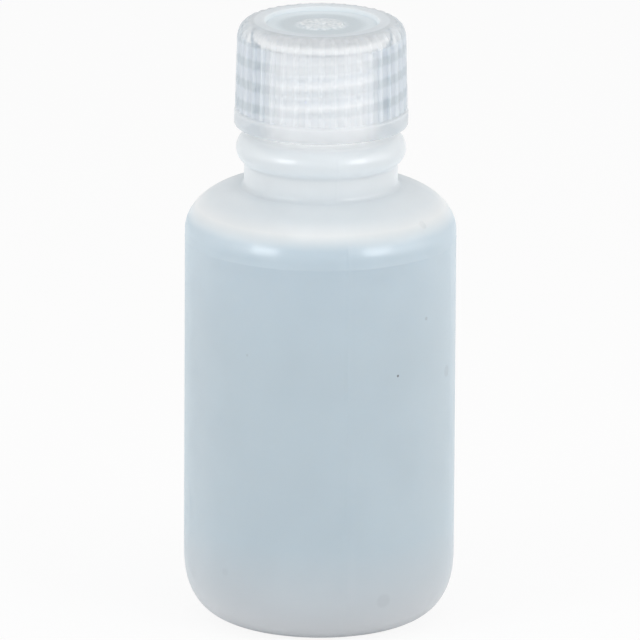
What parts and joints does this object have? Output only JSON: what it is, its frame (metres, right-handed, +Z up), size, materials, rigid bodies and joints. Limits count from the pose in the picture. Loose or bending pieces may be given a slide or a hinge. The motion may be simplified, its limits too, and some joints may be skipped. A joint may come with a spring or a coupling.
{
  "type": "reagent bottle",
  "caption": "Round narrow-mouth reagent bottle in translucent plastic, with a moulded bead under a ribbed screw cap and a plug seal, for storing and sampling liquids.",
  "frame": {"origin": "centre of the base, on the surface that the bottle stands on", "axes": "+Z up along the bottle's axis, towards the cap; -Y towards the viewer in the usual front view"},
  "size_m": [0.039, 0.039, 0.0883],
  "materials": {
    "bottle_hdpe": "natural translucent polyethylene, satin",
    "cap_pp": "natural translucent polypropylene, semi-gloss",
    "seal_ldpe": "natural soft polyethylene, satin"
  },
  "bodies": {
    "bottle_body": {"bottle": "bottle_hdpe"},
    "seal_body": {"seal_insert": "seal_ldpe"},
    "cap_body": {"cap": "cap_pp"}
  },
  "joints": [
    {"name": "cap_lift", "type": "slide", "parent": "bottle_body", "child": "seal_body", "axis": [0, 0, 1], "range_m": [0, 0.01588]},
    {"name": "cap_turn", "type": "hinge", "parent": "seal_body", "child": "cap_body", "pos_m": [0, 0, 0.08], "axis": [0, 0, 1], "range_deg": [0, 1800]}
  ],
  "couplings": [
    {"joint": "cap_lift", "follows": "cap_turn", "m_per_rad": 0.00050532}
  ]
}
